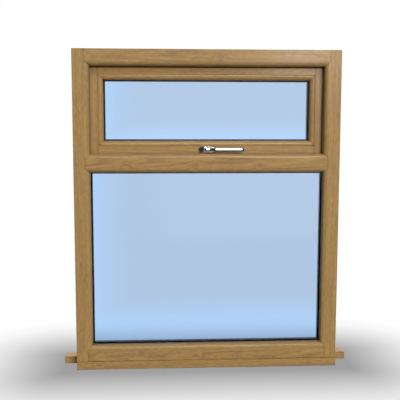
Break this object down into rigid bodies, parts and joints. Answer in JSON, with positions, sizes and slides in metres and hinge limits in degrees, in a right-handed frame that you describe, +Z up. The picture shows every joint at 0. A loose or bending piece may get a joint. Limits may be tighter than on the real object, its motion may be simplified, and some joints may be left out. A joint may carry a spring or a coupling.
{
  "type": "stormproof timber casement window",
  "caption": "Stormproof timber window with an outward opening top-hung sash over a fixed light, on a projecting sill board, with a lever handle.",
  "frame": {"origin": "middle of the sill board's underside, at half the depth of the frame", "axes": "+Z up, +X to the right as seen from the room, +Y out of the building, so the sill's nose points along +Y"},
  "size_m": [0.995, 0.144, 1.084],
  "materials": {
    "oak": "satin clear coat",
    "glass": "clear",
    "spacer": "matt black",
    "gasket": "matt",
    "chrome": "polished",
    "steel": "satin"
  },
  "bodies": {
    "window": {"frame_head": "oak", "frame_jamb_left": "oak", "frame_jamb_right": "oak", "frame_transom": "oak", "frame_bottom_rail": "oak", "sill_board": "oak", "lower_bead_top": "oak", "lower_bead_bottom": "oak", "lower_bead_left": "oak", "lower_bead_right": "oak", "sash_top_rail": "oak", "sash_bottom_rail": "oak", "sash_stile_left": "oak", "sash_stile_right": "oak", "sash_bead_top": "oak", "sash_bead_bottom": "oak", "sash_bead_left": "oak", "sash_bead_right": "oak", "lower_inner_pane": "glass", "lower_outer_pane": "glass", "lower_spacer": "spacer", "lower_gaskets": "gasket", "sash_inner_pane": "glass", "sash_outer_pane": "glass", "sash_spacer": "spacer", "sash_gaskets": "gasket", "weather_seal": "gasket", "handle_base": "chrome", "hinge_left_frame_leaf": "steel", "hinge_left_sash_leaf": "steel", "hinge_left_pin": "steel", "hinge_right_frame_leaf": "steel", "hinge_right_sash_leaf": "steel", "hinge_right_pin": "steel"},
    "handle": {"handle_lever": "chrome", "handle_spindle": "steel"}
  },
  "joints": [
    {"name": "handle_turn", "type": "hinge", "parent": "window", "child": "handle", "pos_m": [0, 0, 0.7525], "axis": [0, -1, 0], "range_deg": [0, 90]}
  ]
}
